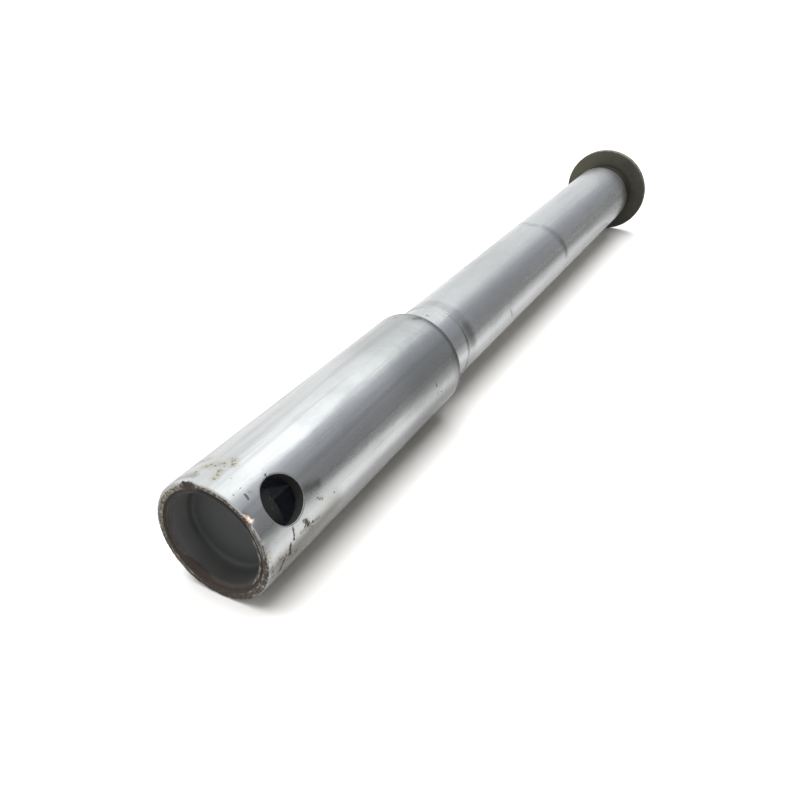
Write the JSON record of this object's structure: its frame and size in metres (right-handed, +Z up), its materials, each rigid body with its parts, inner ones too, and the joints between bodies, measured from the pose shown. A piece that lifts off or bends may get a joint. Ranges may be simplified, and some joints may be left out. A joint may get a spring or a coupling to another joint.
{
  "type": "front wheel axle",
  "caption": "Hollow stepped wheel spindle with a cross hole in its thick end, a cup plug in that end and a flanged axle screw in the thin end.",
  "frame": {"origin": "on the axle's axis, in the plane of the shoulder between the thick and the thin part", "axes": "+Y along the axis from the thick end to the flange, +Z up as the axle lies"},
  "size_m": [0.036, 0.282, 0.036],
  "materials": {
    "bright_metal": "bright turned and plated steel, scuffed, with rust and grime at the open end",
    "grey_plastic": "dark grey moulded plastic, matt and dusty",
    "olive_plating": "dark olive plated steel, satin"
  },
  "bodies": {
    "root": {"axle_shaft": "bright_metal", "end_plug": "grey_plastic", "axle_screw": "olive_plating"}
  },
  "joints": []
}
